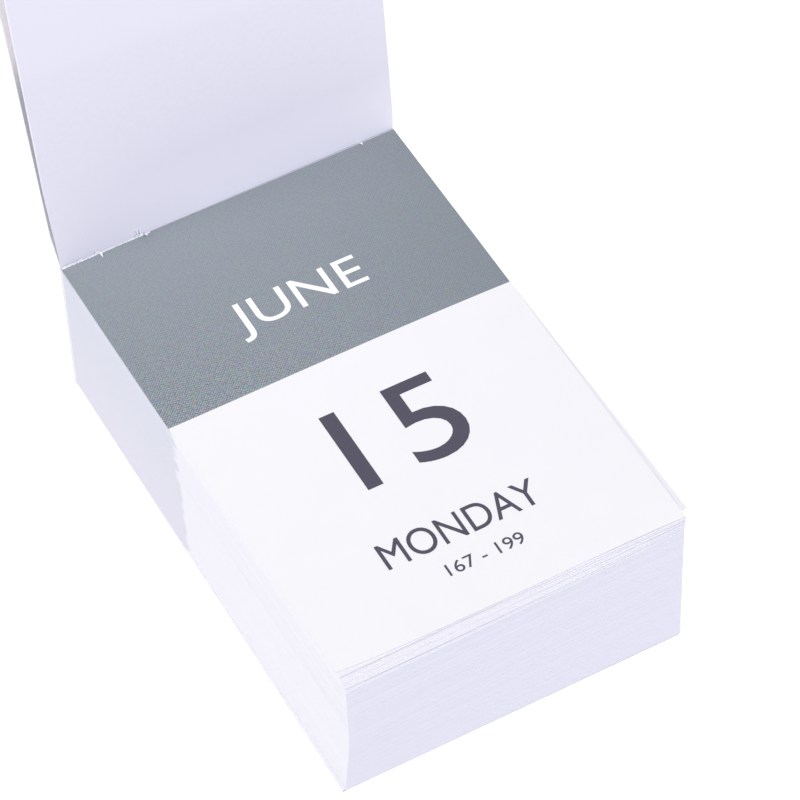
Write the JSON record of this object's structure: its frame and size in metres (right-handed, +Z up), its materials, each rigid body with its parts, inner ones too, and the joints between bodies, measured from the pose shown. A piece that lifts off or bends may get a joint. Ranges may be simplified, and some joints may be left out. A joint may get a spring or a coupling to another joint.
{
  "type": "block desk calendar",
  "caption": "Glue-bound tear-off desk calendar: a thick block of dated leaves in a creased card cover, opened with a turned leaf and the cover flap standing behind the leaf of the day.",
  "frame": {"origin": "on the base face, under the middle of the leaves", "axes": "+X to the right along the bound edge, +Y to the rear towards the binding, +Z up"},
  "size_m": [0.0655, 0.1235, 0.1316],
  "materials": {
    "leaf_paper": "matte",
    "cover_card": "matte",
    "padding_glue": "satin"
  },
  "bodies": {
    "block": {"cover_back": "cover_card", "cover_spine": "cover_card", "spine_glue": "padding_glue", "july_leaves": "leaf_paper", "august_leaves": "leaf_paper", "september_leaves": "leaf_paper", "october_leaves": "leaf_paper", "november_leaves": "leaf_paper", "december_leaves": "leaf_paper"},
    "loose_leaves": {"june_16_leaf": "leaf_paper", "june_17_leaf": "leaf_paper", "june_18_leaf": "leaf_paper", "june_19_leaf": "leaf_paper", "june_20_leaf": "leaf_paper", "june_21_leaf": "leaf_paper", "june_22_leaf": "leaf_paper", "june_23_leaf": "leaf_paper", "june_24_leaf": "leaf_paper", "june_25_leaf": "leaf_paper", "june_26_leaf": "leaf_paper", "june_27_leaf": "leaf_paper", "june_28_leaf": "leaf_paper", "june_29_leaf": "leaf_paper", "june_30_leaf": "leaf_paper"},
    "day_leaf": {"june_15_leaf": "leaf_paper"},
    "turned_leaf": {"june_14_leaf": "leaf_paper"},
    "cover_flap": {"cover_flap": "cover_card"}
  },
  "joints": [
    {"name": "loose_leaves_lift", "type": "hinge", "parent": "block", "child": "loose_leaves", "pos_m": [0, 0.05055, 0.03193], "axis": [-1, 0, 0], "range_deg": [0, 10]},
    {"name": "day_leaf_turn", "type": "hinge", "parent": "loose_leaves", "child": "day_leaf", "pos_m": [0, 0.05055, 0.03193], "axis": [-1, 0, 0], "range_deg": [0, 40]},
    {"name": "turned_leaf_turn", "type": "hinge", "parent": "day_leaf", "child": "turned_leaf", "pos_m": [0, 0.05055, 0.03193], "axis": [-1, 0, 0], "range_deg": [-97.4, 19]},
    {"name": "cover_flap_turn", "type": "hinge", "parent": "turned_leaf", "child": "cover_flap", "pos_m": [0, 0.05055, 0.03193], "axis": [-1, 0, 0], "range_deg": [-4.9, 22]}
  ]
}
